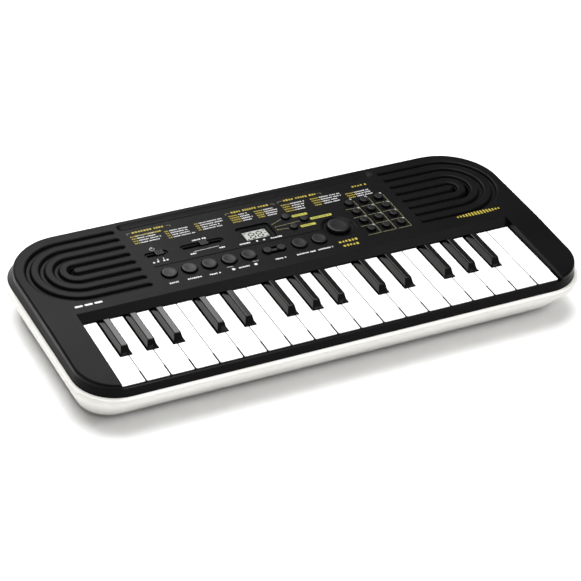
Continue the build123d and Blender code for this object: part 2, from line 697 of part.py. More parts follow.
def key_frame():
    half = KEYBED_HALF - FRAME_SIDE
    front = KEY_FRONT + 7
    rear = PIVOT_Y + 6
    frame = block(-half, half, front, rear, FRAME_Z - FRAME_THICK, FRAME_Z)
    bar = Pos(0, PIVOT_Y, PIVOT_Z) * Rot(0, 90, 0) * Cylinder(BAR_RADIUS, 2 * half)
    places = key_places()
    ribs = [(a + b) / 2 for a, b in zip(places, places[1:])]
    for x in [-half + RIB / 2] + ribs + [half - RIB / 2]:
        frame += block(x - RIB / 2, x + RIB / 2, PIVOT_Y - 4, PIVOT_Y + 4, FRAME_Z - 1, PIVOT_Z + 3)
    frame += bar
    for index in range(1, WHITE_COUNT + 1):
        x = white_x(index)
        frame += block(x - 1.5, x + 1.5, front + 1, front + 5, FRAME_Z - 1, FRAME_Z + POST_HEIGHT)
    for x in (-KEYBED_HALF * 0.85, -KEYBED_HALF * 0.3, KEYBED_HALF * 0.3, KEYBED_HALF * 0.85):
        for y in (KEY_FRONT + 30, PIVOT_Y - 6):
            frame += rod(x, y, FLOOR_Z, FRAME_Z - 1, BOSS_RADIUS)
    return frame


def key_contacts():
    """Contact board on the key frame, with one rubber dome for each key, drawn pressed."""
    half = KEYBED_HALF - FRAME_SIDE
    y = KEY_FRONT + CONTACT_OFFSET
    board_top = FRAME_Z + BOARD_THICK
    board = block(-half, half, y - CONTACT_WIDTH / 2, y + CONTACT_WIDTH / 2, FRAME_Z, board_top)
    for x in key_places():
        dome = Pos(x, y, board_top + DOME_HEIGHT / 2) * Cone(DOME_RADIUS, DOME_RADIUS / 2, DOME_HEIGHT)
        board += dome
    return board


def main_board():
    y0, y1 = PANEL_Y + BOARD_Y[0], PANEL_Y + BOARD_Y[1]
    board = block(-BOARD_X / 2, BOARD_X / 2, y0, y1, BOARD_Z - BOARD_THICK, BOARD_Z)
    under = BOARD_Z - BOARD_THICK
    chip_y = (y0 + y1) / 2
    board += block(20, 40, chip_y - 10, chip_y + 10, under - 2, under + 0.5)
    board += block(-40, -28, chip_y - 5, chip_y + 5, under - 1.8, under + 0.5)
    for i in range(4):
        board += rod(60 + 11 * i, chip_y + 18, under - 8, under + 0.5, 3.2)
    for i in range(6):
        x = -100 + 9 * i
        board += block(x - 2.5, x + 2.5, chip_y + 10, chip_y + 16, under - 2.5, under + 0.5)
    return board


def display_module():
    x, y = WINDOW_CENTRE[0], PANEL_Y + WINDOW_CENTRE[1]
    half_x, half_y = WINDOW_SIZE[0] / 2, WINDOW_SIZE[1] / 2
    glass_top = PANEL_Z - SCREEN_DEPTH - WINDOW_THICK - 0.3
    body = block(x - half_x - 2, x + half_x + 2, y - half_y - 2, y + half_y + 2, BOARD_Z, PANEL_UNDER - 1.2)
    glass = block(x - half_x, x + half_x, y - half_y, y + half_y, BOARD_Z + 1, glass_top)
    return body + glass


def display_window():
    x, y = WINDOW_CENTRE[0], PANEL_Y + WINDOW_CENTRE[1]
    top = PANEL_Z - SCREEN_DEPTH
    half_x, half_y = WINDOW_SIZE[0] / 2 + FIT - 0.05, WINDOW_SIZE[1] / 2 + FIT - 0.05
    return block(x - half_x, x + half_x, y - half_y, y + half_y, top - WINDOW_THICK, top)


def speaker_frames():
    """Basket and magnet of each speaker, hung under its grille."""
    top = PANEL_UNDER - GRILLE_PAD
    frames = []
    for side in (-1, 1):
        x = side * SPEAKER_X
        flange = rod(x, GRILLE_Y, top - 2, top, SPEAKER_RADIUS + 1.5)
        basket_z = top - SPEAKER_DEPTH * 0.45
        height = top - 2 - basket_z
        basket = Pos(x, GRILLE_Y, basket_z + height / 2) * Cone(MAGNET_RADIUS + 1, SPEAKER_RADIUS - 1, height)
        hollow = Pos(x, GRILLE_Y, basket_z + height / 2 + 1.5) * Cone(MAGNET_RADIUS - 1, SPEAKER_RADIUS - 3, height)
        magnet = rod(x, GRILLE_Y, top - SPEAKER_DEPTH, basket_z + 0.5, MAGNET_RADIUS)
        bore = rod(x, GRILLE_Y, top - 3, top + 1, SPEAKER_RADIUS - 3)
        frames.append(flange + basket + magnet - hollow - bore)
    return frames


def speaker_cones():
    """Paper cone with its dust cap, a thin funnel inside each basket."""
    top = PANEL_UNDER - GRILLE_PAD - 2.2
    cones = []
    for side in (-1, 1):
        x = side * SPEAKER_X
        outer = Pos(x, GRILLE_Y, top - 3) * Cone(7, SPEAKER_RADIUS - 5, 6)
        inner = Pos(x, GRILLE_Y, top - 2) * Cone(7, SPEAKER_RADIUS - 5, 6)
        cap = Pos(x, GRILLE_Y, top - 6) * Sphere(6) & rod(x, GRILLE_Y, top - 6, top, 7)
        cones.append(outer - inner + cap)
    return cones


def rear_sockets():
    """Headphone socket and power inlet: bodies inside, round collars through the rear wall."""
    z = SEAM_Z + BAND_HEIGHT / 2
    face_y = Y_REAR - LEDGE - BAND_LEAN / 2 - 0.3
    wall_in = Y_REAR - LEDGE - BAND_LEAN - WALL - 0.2
    sockets = []
    for x, bore_radius, pin in ((JACK_X, JACK_BORE, 0.0), (INLET_X, INLET_BORE, INLET_PIN)):
        width, depth, height = JACK_BODY
        body = block(x - width / 2, x + width / 2, wall_in - depth, wall_in, z - height / 2, z + height / 2)
        collar = Pos(x, (wall_in - 1 + face_y) / 2, z) * Rot(90, 0, 0) * Cylinder(COLLAR_RADIUS, face_y - wall_in + 1)
        hole = Pos(x, face_y - JACK_DEPTH / 2, z) * Rot(90, 0, 0) * Cylinder(bore_radius, JACK_DEPTH)
        tab = block(x - 3, x + 3, PANEL_Y + BOARD_Y[1] - 3, wall_in - depth + 1, z - 1, BOARD_Z - BOARD_THICK)
        socket = body + tab + collar - hole
        if pin:
            centre = face_y - JACK_DEPTH / 2 - 1
            socket += Pos(x, centre, z) * Rot(90, 0, 0) * Cylinder(pin, JACK_DEPTH)
        sockets.append(socket)
    return sockets


# ---- buttons and sliders ----
def button(x, y, radius, proud, edge=0.6):
    """Round button: cap through the panel, flange under it, stem over its switch."""
    under = PANEL_UNDER - FLANGE_CLEAR
    cap = rod(x, y, under - FLANGE_THICK, PANEL_Z + proud, radius)
    cap = fillet(cap.edges().group_by(Axis.Z)[-1], edge)
    flange = rod(x, y, under - FLANGE_THICK, under, radius + FLANGE)
    stem = rod(x, y, BOARD_Z + BUTTON_TRAVEL + FLANGE_CLEAR, under, radius / 2)
    return cap + flange + stem


def start_button():
    """Large domed button: its flange lies under the thicker panel below the well."""
    x, y = START_X, PANEL_Y + START_OFFSET
    under = PANEL_UNDER - 1 - FLANGE_CLEAR
    cap = rod(x, y, under - FLANGE_THICK, PANEL_Z + START_PROUD, START_RADIUS)
    cap = fillet(cap.edges().group_by(Axis.Z)[-1], 1.2)
    flange = rod(x, y, under - FLANGE_THICK, under, START_RADIUS + FLANGE)
    stem = rod(x, y, BOARD_Z + BUTTON_TRAVEL + FLANGE_CLEAR, under, START_RADIUS / 2)
    return cap + flange + stem


def rocker():
    """Two small round caps joined by a web; it rocks on its middle."""
    y = PANEL_Y + ROW_OFFSET
    under = PANEL_UNDER - ROCKER_DROP
    piece = pill(ROCKER_X, y, under - FLANGE_THICK, under, ROCKER_SPAN, ROCKER_RADIUS + FLANGE + ROCKER_GAP)
    for side in (-1, 1):
        cap = rod(ROCKER_X + side * ROCKER_SPAN / 2, y, under - 0.5, PANEL_Z + ROW_PROUD, ROCKER_RADIUS)
        piece += fillet(cap.edges().group_by(Axis.Z)[-1], 0.6)
        piece += rod(ROCKER_X + side * ROCKER_SPAN / 2, y, BOARD_Z + 0.8, under - 0.5, ROCKER_RADIUS / 3)
    pivot = Pos(ROCKER_X, y, under - FLANGE_THICK / 2) * Rot(90, 0, 0)
    piece += pivot * Cylinder(ROCKER_PIN, 2 * (ROCKER_RADIUS + FLANGE + ROCKER_GAP + ROCKER_PIN))
    half = ROCKER_SPAN / 2
    piece += block(ROCKER_X - half, ROCKER_X + half, y - ROCKER_WEB / 2, y + ROCKER_WEB / 2, under - 0.5, PANEL_Z + 0.3)
    return piece


def slider(x, proud=1.3):
    """Ribbed thumb knob in its pocket, with a stem through the slot and a slide plate below."""
    floor = PANEL_Z - SLIDER_DEPTH
    half = SLIDER_KNOB / 2
    width = SLIDER_WIDTH / 2 - FIT
    knob = block(x - half, x + half, SLIDER_Y - width, SLIDER_Y + width, floor + FLANGE_CLEAR, PANEL_Z + proud)
    for i in (-1, 0, 1):
        place = x + i * 1.8
        knob -= block(place - 0.4, place + 0.4, SLIDER_Y - 5, SLIDER_Y + 5, PANEL_Z + proud - 0.6, PANEL_Z + 5)
    stem_half = SLIDER_STEM / 2
    stem = block(x - 2, x + 2, SLIDER_Y - stem_half, SLIDER_Y + stem_half, PANEL_UNDER - 1, floor + 0.5)
    plate_top = PANEL_UNDER - FLANGE_CLEAR
    plate = block(x - 5, x + 5, SLIDER_Y - 3, SLIDER_Y + 3, plate_top - FLANGE_THICK, plate_top)
    return knob + stem + plate


def save(name, shape):
    """Writes one node, from one shape or from a list of separate solids."""
    solids = shape if isinstance(shape, list) else [shape]
    parts = [s for one in solids for s in one.solids()]
    node = parts[0] if len(parts) == 1 else Compound(children=parts)
    export_step(node, f"parts/{name}.step")


def main():
    os.makedirs("parts", exist_ok=True)
    save("bottom_case", lower_case())
    save("top_case", upper_case())
    save("battery_door", battery_door())
    save("feet", feet())
    save("case_screws", case_screws())
    for index in range(1, WHITE_COUNT + 1):
        save(f"white_key_{index:02d}", white_key(index))
    for count, gap in enumerate(BLACK_GAPS, 1):
        save(f"black_key_{count:02d}", black_key(gap))
    save("key_frame", key_frame())
    save("key_contacts", key_contacts())
    save("main_board", main_board())
    save("display_module", display_module())
    save("display_window", display_window())
    save("speaker_frames", speaker_frames())
    save("speaker_cones", speaker_cones())
    save("rear_sockets", rear_sockets())
    save("start_stop_button", start_button())
    for count, (x, y) in enumerate(row_spots(), 1):
        save(f"row_button_{count}", button(x, y, ROW_RADIUS, ROW_PROUD))
    for count, (x, y) in enumerate(mode_spots(), 1):
        save(f"mode_button_{count}", button(x, y, MODE_RADIUS, MODE_PROUD))
    save("tempo_rocker", rocker())
    save("number_pad", [button(x, y, PAD_RADIUS, PAD_PROUD) for x, y in pad_spots()])
    save("power_slider", slider(POWER_KNOB_X))
    save("volume_slider", slider(VOLUME_KNOB_X))


main()
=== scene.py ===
"""Looks of a toy electronic keyboard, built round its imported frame.

Every size is in metres in the frame's own axes: X to the treble end, Y to the rear, Z up.
"""

from __future__ import annotations

import logging
import math
import random
from dataclasses import dataclass, field
from enum import Enum
from typing import Callable, Iterable, Sequence

import bpy
from mathutils import Matrix, Vector

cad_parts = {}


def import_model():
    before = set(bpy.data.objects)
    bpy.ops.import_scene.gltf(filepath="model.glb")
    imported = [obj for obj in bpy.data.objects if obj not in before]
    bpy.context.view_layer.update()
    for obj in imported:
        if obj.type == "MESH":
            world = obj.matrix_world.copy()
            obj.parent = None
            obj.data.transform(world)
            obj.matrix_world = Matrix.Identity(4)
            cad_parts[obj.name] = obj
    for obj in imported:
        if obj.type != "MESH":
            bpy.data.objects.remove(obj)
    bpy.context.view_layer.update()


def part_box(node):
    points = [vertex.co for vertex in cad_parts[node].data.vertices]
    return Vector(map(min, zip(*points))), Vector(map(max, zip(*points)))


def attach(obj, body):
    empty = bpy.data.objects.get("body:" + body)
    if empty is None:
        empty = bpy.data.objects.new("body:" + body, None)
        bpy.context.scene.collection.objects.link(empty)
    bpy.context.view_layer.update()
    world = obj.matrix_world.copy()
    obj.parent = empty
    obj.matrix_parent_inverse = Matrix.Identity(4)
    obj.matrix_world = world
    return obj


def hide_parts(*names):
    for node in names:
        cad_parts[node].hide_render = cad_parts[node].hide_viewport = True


LOG = logging.getLogger("keyboard")
MM = 0.001
Point = tuple[float, float]


# ---------------------------------------------------------------- small tools


def linear(colour: str) -> tuple[float, float, float, float]:
    """Turns an sRGB hex colour into linear light.

    Args:
        colour: Six hex digits, with or without a hash.

    Returns:
        Red, green, blue and an alpha of 1.
    """
    digits = colour.lstrip("#")
    parts = [int(digits[i : i + 2], 16) / 255 for i in (0, 2, 4)]
    light = [p / 12.92 if p <= 0.04045 else ((p + 0.055) / 1.055) ** 2.4 for p in parts]
    return light[0], light[1], light[2], 1.0


def add_node(
    tree: bpy.types.NodeTree,
    kind: str,
    values: dict[str, object] | None = None,
    links: dict[str, bpy.types.NodeSocket] | None = None,
    **settings: object,
) -> bpy.types.Node:
    """Adds one shader node.

    Args:
        tree: The material's node tree.
        kind: The node's type name.
        values: Input socket names and their constants.
        links: Input socket names and the sockets that feed them.
        **settings: Attributes of the node itself.

    Returns:
        The new node.
    """
    node = tree.nodes.new(kind)
    for name, value in settings.items():
        setattr(node, name, value)
    for name, value in (values or {}).items():
        node.inputs[name].default_value = value
    for name, socket in (links or {}).items():
        tree.links.new(socket, node.inputs[name])
    return node


def deselect() -> None:
    """Clears the selection."""
    for other in bpy.context.selected_objects:
        other.select_set(False)


def focus(piece: bpy.types.Object) -> None:
    """Makes one object the only selected and the active one."""
    deselect()
    piece.select_set(True)
    bpy.context.view_layer.objects.active = piece


def bake_place(piece: bpy.types.Object) -> None:
    """Moves a piece's place, turn and size into its mesh."""
    focus(piece)
    bpy.ops.object.transform_apply(location=True, rotation=True, scale=True)


def apply_all(piece: bpy.types.Object) -> None:
    """Applies every modifier of a piece, first to last."""
    focus(piece)
    for modifier in list(piece.modifiers):
        bpy.ops.object.modifier_apply(modifier=modifier.name)


def smooth(piece: bpy.types.Object, degrees: float = 32.0) -> None:
    """Shades a piece smooth up to an angle between its faces."""
    focus(piece)
    bpy.ops.object.shade_smooth_by_angle(angle=math.radians(degrees))


def flatten_shading(piece: bpy.types.Object) -> None:
    """Weights a smooth piece's normals by face area, so that its flats stay flat."""
    level = piece.modifiers.new("level", "WEIGHTED_NORMAL")
    level.keep_sharp = True
    level.weight = 90
    apply_all(piece)


def dress(piece: bpy.types.Object, material: bpy.types.Material) -> None:
    """Gives a piece one material."""
    piece.data.materials.clear()
    piece.data.materials.append(material)


def pick_faces(piece: bpy.types.Object, wanted: Callable[[bpy.types.MeshPolygon], bool]) -> None:
    """Selects the faces that a test accepts, and leaves the piece in edit mode.

    Args:
        piece: The piece, active and in edit mode.
        wanted: A test on one face.
    """
    bpy.ops.mesh.select_all(action="DESELECT")
    bpy.ops.mesh.select_mode(type="FACE")
    bpy.ops.object.mode_set(mode="OBJECT")
    for face in piece.data.polygons:
        face.select = wanted(face)
    bpy.ops.object.mode_set(mode="EDIT")


def faces_up(face: bpy.types.MeshPolygon) -> bool:
    """True for a face that looks straight up."""
    return face.normal.z > 0.99


def join(pieces: Sequence[bpy.types.Object], name: str) -> bpy.types.Object:
    """Joins several objects into one.

    Args:
        pieces: The objects, which are used up.
        name: The joined object's name.

    Returns:
        The joined object.
    """
    deselect()
    for piece in pieces:
        piece.select_set(True)
    bpy.context.view_layer.objects.active = pieces[0]
    if len(pieces) > 1:
        bpy.ops.object.join()
    pieces[0].name = name
    return pieces[0]


def place_copies(model: bpy.types.Object, places: Sequence[Vector], name: str) -> bpy.types.Object:
    """Copies a model to several places and joins the copies.

    Args:
        model: A finished object made round the origin, which is used up.
        places: Where the copies go.
        name: The joined object's name.

    Returns:
        The joined object, with its places in its mesh.
    """
    copies = []
    for place in places:
        copy = model.copy()
        copy.data = model.data.copy()
        bpy.context.collection.objects.link(copy)
        copy.data.transform(Matrix.Translation(place))
        copies.append(copy)
    bpy.data.objects.remove(model)
    return join(copies, name)


def node_copy(node: str, bevel: float = 0.0, angle: float = 35.0, segments: int = 2) -> bpy.types.Object:
    """Copies a frame node's shell and eases its edges.

    Args:
        node: The frame node's name.
        bevel: Width of the eased edges, or 0 for none.
        angle: Edges sharper than this many degrees are eased.
        segments: Steps across an eased edge.

    Returns:
        The new piece, which stands for the node.
    """
    source = bpy.data.objects[node]
    piece = source.copy()
    piece.data = source.data.copy()
    piece.parent = None
    piece.matrix_world = source.matrix_world
    piece.name = f"{node}_shell"
    bpy.context.collection.objects.link(piece)
    focus(piece)
    bpy.ops.object.mode_set(mode="EDIT")
    bpy.ops.mesh.select_all(action="SELECT")
    bpy.ops.mesh.remove_doubles(threshold=2e-6)
    bpy.ops.mesh.dissolve_limited(angle_limit=math.radians(0.5))
    bpy.ops.object.mode_set(mode="OBJECT")
    if bevel:
        ease = piece.modifiers.new("eased", "BEVEL")
        ease.width = bevel
        ease.segments = segments
        ease.limit_method = "ANGLE"
        ease.angle_limit = math.radians(angle)
        ease.use_clamp_overlap = False
        ease.miter_outer = "MITER_ARC"
        apply_all(piece)
    smooth(piece)
    flatten_shading(piece)
    return piece


def edge_angles(mesh: bpy.types.Mesh) -> dict[int, float]:
    """Angle between the two faces of each edge.

    Args:
        mesh: A closed mesh.

    Returns:
        Edge index to angle in radians.
    """
    normals: dict[tuple[int, int], list[Vector]] = {}
    for face in mesh.polygons:
        for key in face.edge_keys:
            normals.setdefault(key, []).append(face.normal.copy())
    return {
        edge.index: normals[edge.key][0].angle(normals[edge.key][1], 0.0)
        for edge in mesh.edges
        if len(normals.get(edge.key, ())) == 2
    }


def ease_edges(piece: bpy.types.Object, width: float, share: Callable[[list[Vector]], float]) -> None:
    """Rounds a piece's sharp edges, each by its own share of a width.

    Args:
        piece: A closed piece.
        width: The largest rounding.
        share: Turns an edge's two ends into its share, from 0 to 1.
    """
    mesh = piece.data
    weights = mesh.attributes.new("bevel_weight_edge", "FLOAT", "EDGE")
    angles = edge_angles(mesh)
    for edge in mesh.edges:
        if angles.get(edge.index, 0.0) > math.radians(33):
            weights.data[edge.index].value = share([mesh.vertices[i].co for i in edge.vertices])
    ease = piece.modifiers.new("eased", "BEVEL")
    ease.width = width
    ease.segments = 3
    ease.limit_method = "WEIGHT"
    ease.use_clamp_overlap = False
    apply_all(piece)
    smooth(piece)
    flatten_shading(piece)


def stand_in_for(piece: bpy.types.Object, node: str, body: str) -> None:
    """Makes a piece ride on a body and stand for a frame node."""
    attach(piece, body)
    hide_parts(node)
    LOG.info("%s stands for %s: %d faces", piece.name, node, len(piece.data.polygons))


def add_piece(piece: bpy.types.Object, body: str) -> None:
    """Makes a detail piece ride on a body."""
    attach(piece, body)
    LOG.info("%s rides on %s: %d faces", piece.name, body, len(piece.data.polygons))


# ------------------------------------------------------------------- finishes


@dataclass(frozen=True)
class MouldedPlastic:
    """Injection-moulded ABS: opaque colour right through, under a fine spark-eroded grain.

    The grain scatters the highlight into a soft sheen. Real grain is 0.1 to 0.3 mm;
    it is drawn coarser so that it still shows from a step away.
    """

    name: str
    colour: str
    cast: str
    roughness: float
    grain_mm: float = 0.9
    depth_mm: float = 0.03
    specular: float = 0.5
    coat: float = 0.0
    # painted shade: the walls take this colour below shade_from and keep the tone above shade_to, so the gaps
    # between keys read darker
    shade: str = ""
    shade_from: float = 40.9 * MM
    shade_to: float = 41.45 * MM

    def material(self) -> bpy.types.Material:
        """Builds the material.

        Returns:
            The finished material.
        """
        made = bpy.data.materials.new(self.name)
        made.use_nodes = True
        tree = made.node_tree
        shader = tree.nodes["Principled BSDF"]
        place = add_node(tree, "ShaderNodeTexCoord").outputs["Object"]
        drift = add_node(tree, "ShaderNodeTexNoise", {"Scale": 18.0, "Detail": 3.0}, {"Vector": place})
        tone = self._tone(tree, drift)
        # painted shade on the low walls in the gaps
        if self.shade:
            tone = self._paint_gap_shade(tree, place, tone)
        grain = add_node(
            tree,
            "ShaderNodeTexNoise",
            {"Scale": 1000.0 / self.grain_mm, "Detail": 4.0, "Roughness": 0.6},
            {"Vector": place},
        )
        bump = add_node(
            tree,
            "ShaderNodeBump",
            {"Strength": 0.6, "Distance": self.depth_mm * MM},
            {"Height": grain.outputs["Fac"]},
        )
        wear = add_node(
            tree,
            "ShaderNodeMapRange",
            {"To Min": max(self.roughness - 0.05, 0.02), "To Max": self.roughness + 0.06},
            {"Value": drift.outputs["Fac"]},
        )
        tree.links.new(tone, shader.inputs["Base Color"])
        tree.links.new(wear.outputs["Result"], shader.inputs["Roughness"])
        tree.links.new(bump.outputs["Normal"], shader.inputs["Normal"])
        shader.inputs["IOR"].default_value = 1.5
        shader.inputs["Specular IOR Level"].default_value = self.specular
        shader.inputs["Coat Weight"].default_value = self.coat
        shader.inputs["Coat Roughness"].default_value = 0.06
        return made

    def _tone(self, tree: bpy.types.NodeTree, drift: bpy.types.Node) -> bpy.types.NodeSocket:
        """Colour that drifts slightly between two tones over a few centimetres."""
        ramp = add_node(tree, "ShaderNodeValToRGB", links={"Fac": drift.outputs["Fac"]})
        ramp.color_ramp.elements[0].position = 0.3
        ramp.color_ramp.elements[0].color = linear(self.colour)
        ramp.color_ramp.elements[1].position = 0.75
        ramp.color_ramp.elements[1].color = linear(self.cast)
        return ramp.outputs["Color"]

    def _paint_gap_shade(
        self, tree: bpy.types.NodeTree, place: bpy.types.NodeSocket, tone: bpy.types.NodeSocket
    ) -> bpy.types.NodeSocket:
        """Paints shade on the walls down in the gaps between keys: the colour turns darker below a height.

        Args:
            tree: The material's node tree.
            place: Object coordinates.
            tone: The colour of the polished top.

        Returns:
            The colour that changes with height.
        """
        height = add_node(tree, "ShaderNodeSeparateXYZ", links={"Vector": place}).outputs["Z"]
        share = add_node(
            tree,
            "ShaderNodeMapRange",
            {"From Min": self.shade_from, "From Max": self.shade_to},
            {"Value": height},
        )
        blend = add_node(tree, "ShaderNodeMix", data_type="RGBA")
        blend.inputs[6].default_value = linear(self.shade)
        tree.links.new(share.outputs["Result"], blend.inputs[0])
        tree.links.new(tone, blend.inputs[7])
        return blend.outputs[2]


@dataclass(frozen=True)
class PrintedInk:
    """Pad-printed ink: a thin opaque film, slightly uneven where the grain shows through."""

    name: str
    colour: str
    thin: str

    def material(self) -> bpy.types.Material:
        """Builds the material.

        Returns:
            The finished material.
        """
        made = bpy.data.materials.new(self.name)
        made.use_nodes = True
        tree = made.node_tree
        shader = tree.nodes["Principled BSDF"]
        place = add_node(tree, "ShaderNodeTexCoord").outputs["Object"]
        speck = add_node(tree, "ShaderNodeTexNoise", {"Scale": 1400.0, "Detail": 2.0}, {"Vector": place})
        ramp = add_node(tree, "ShaderNodeValToRGB", links={"Fac": speck.outputs["Fac"]})
        ramp.color_ramp.elements[0].position = 0.32
        ramp.color_ramp.elements[0].color = linear(self.thin)
        ramp.color_ramp.elements[1].position = 0.45
        ramp.color_ramp.elements[1].color = linear(self.colour)
        tree.links.new(ramp.outputs["Color"], shader.inputs["Base Color"])
        shader.inputs["Roughness"].default_value = 0.55
        shader.inputs["Specular IOR Level"].default_value = 0.3
        return made


@dataclass(frozen=True)
class ClearAcrylic:
    """Clear cast acrylic: a flat glossy pane that lets the display show through."""

    name: str = "clear_acrylic"
    colour: str = "#20221f"
    cover: float = 0.16

    def material(self) -> bpy.types.Material:
        """Builds the material.

        Returns:
            The finished material.
        """
        made = bpy.data.materials.new(self.name)
        made.use_nodes = True
        tree = made.node_tree
        shader = tree.nodes["Principled BSDF"]
        place = add_node(tree, "ShaderNodeTexCoord").outputs["Object"]
        ripple = add_node(tree, "ShaderNodeTexNoise", {"Scale": 120.0, "Detail": 1.0}, {"Vector": place})
        bump = add_node(
            tree,
            "ShaderNodeBump",
            {"Strength": 0.2, "Distance": 0.02 * MM},
            {"Height": ripple.outputs["Fac"]},
        )
        tree.links.new(bump.outputs["Normal"], shader.inputs["Normal"])
        shader.inputs["Base Color"].default_value = linear(self.colour)
        shader.inputs["Alpha"].default_value = self.cover
        shader.inputs["IOR"].default_value = 1.49
        shader.inputs["Roughness"].default_value = 0.04
        return made


@dataclass(frozen=True)
class PlatedSteel:
    """Zinc-plated steel: a cool grey metal with fine drawn lines."""

    name: str = "plated_steel"
    colour: str = "#a9abae"

    def material(self) -> bpy.types.Material:
        """Builds the material.

        Returns:
            The finished material.
        """
        made = bpy.data.materials.new(self.name)
        made.use_nodes = True
        tree = made.node_tree
        shader = tree.nodes["Principled BSDF"]
        place = add_node(tree, "ShaderNodeTexCoord").outputs["Object"]
        stretch = add_node(tree, "ShaderNodeMapping", {"Scale": (1.0, 1.0, 12.0)}, {"Vector": place})
        lines = add_node(
            tree, "ShaderNodeTexNoise", {"Scale": 900.0, "Detail": 3.0}, {"Vector": stretch.outputs["Vector"]}
        )
        rough = add_node(
            tree, "ShaderNodeMapRange", {"To Min": 0.25, "To Max": 0.45}, {"Value": lines.outputs["Fac"]}
        )
        tree.links.new(rough.outputs["Result"], shader.inputs["Roughness"])
        shader.inputs["Base Color"].default_value = linear(self.colour)
        shader.inputs["Metallic"].default_value = 1.0
        return made


class Finish(Enum):
    """The finishes of this keyboard, each with its recipe."""

    CASE_BLACK = MouldedPlastic("textured_black_abs", "#070708", "#0a0a0b", 0.34, 1.1, 0.03, 0.06)
    CASE_WHITE = MouldedPlastic("satin_white_abs", "#e4e3de", "#dcdad4", 0.42, 1.4, 0.015, 0.45)
    # the last colour, #4a4a48, is painted shade on the key walls down in the gaps
    KEY_WHITE = MouldedPlastic(
        "polished_white_abs", "#eeeeec", "#ebebe8", 0.20, 2.5, 0.004, 0.5, 0.3, "#4a4a48"
    )
    KEY_BLACK = MouldedPlastic("polished_black_abs", "#030304", "#050505", 0.13, 2.0, 0.004, 0.3)
    BUTTON = MouldedPlastic("satin_black_button", "#0b0b0c", "#0f0f10", 0.32, 1.0, 0.02, 0.2)
    FRAME_GREY = MouldedPlastic("grey_frame_polystyrene", "#4c4d50", "#45464a", 0.5, 1.0, 0.02)
    CIRCUIT = MouldedPlastic("green_solder_resist", "#1d5a34", "#174a2b", 0.35, 0.8, 0.02)
    RUBBER = MouldedPlastic("moulded_silicone_rubber", "#6d7074", "#66696c", 0.7, 0.7, 0.02, 0.3)
    FOOT = MouldedPlastic("pale_rubber_foot", "#d9d8d3", "#cfcec8", 0.75, 0.8, 0.03, 0.3)
    CONE = MouldedPlastic("pulp_paper_cone", "#2c2925", "#35312c", 0.9, 0.5, 0.08, 0.1)
    SOCKET = MouldedPlastic("black_nylon_socket", "#19191a", "#1d1d1f", 0.4, 0.8, 0.02)
    LCD_FIELD = MouldedPlastic("display_grey_field", "#d9dcd4", "#d2d5cd", 0.35, 0.6, 0.004, 0.3)
    LCD_BORDER = MouldedPlastic("display_black_border", "#0c0c0d", "#101011", 0.4, 0.6, 0.004, 0.2)
    LCD_MARK = MouldedPlastic("display_dark_segment", "#1a1c1b", "#202221", 0.4, 0.6, 0.004, 0.3)
    WINDOW = ClearAcrylic()
    STEEL = PlatedSteel()
    INK_WHITE = PrintedInk("white_pad_print", "#c9c9c9", "#7d7d7d")
    INK_YELLOW = PrintedInk("yellow_pad_print", "#a3932e", "#5f5620")
    INK_PALE = PrintedInk("pale_line_print", "#8b8866", "#5b5944")
    INK_DARK = PrintedInk("dark_pad_print", "#3a3a16", "#4d4c1e")
    INK_LIME = PrintedInk("lime_pad_print", "#9c9a37", "#73722a")

    def material(self) -> bpy.types.Material:
        """The finish's material, built once."""
        found = bpy.data.materials.get(self.value.name)
        return found or self.value.material()


# -------------------------------------------------------------- sub-assemblies


@dataclass
class UpperCase:
    """Black upper case: panel, cheeks, grooved grilles and front rail."""

    top: float = 48.5 * MM
    grille_x: float = 169.0 * MM
    grille_y: float = 47.7 * MM
    grille_reach: float = 48.0 * MM
    ease_small: float = 0.28 * MM
    ease_ridge: float = 0.9 * MM

    def build(self) -> None:
        """Eases the shell's edges: more along the grille ridges, less elsewhere."""
        piece = node_copy("top_case")
        small = self.ease_small / self.ease_ridge
        ease_edges(piece, self.ease_ridge, lambda ends: 1.0 if self._on_ridge(ends) else small)
        dress(piece, Finish.CASE_BLACK.material())
        stand_in_for(piece, "top_case", "case")

    def _on_ridge(self, ends: list[Vector]) -> bool:
        """True for an edge, given by its ends, along the top of a grille ridge."""
        middle = (ends[0] + ends[1]) / 2
        if min(end.z for end in ends) < self.top - 0.1 * MM:
            return False
        beside = abs(middle.x) > self.grille_x - self.grille_reach - 2 * MM
        return beside and abs(middle.y - self.grille_y) < 43 * MM


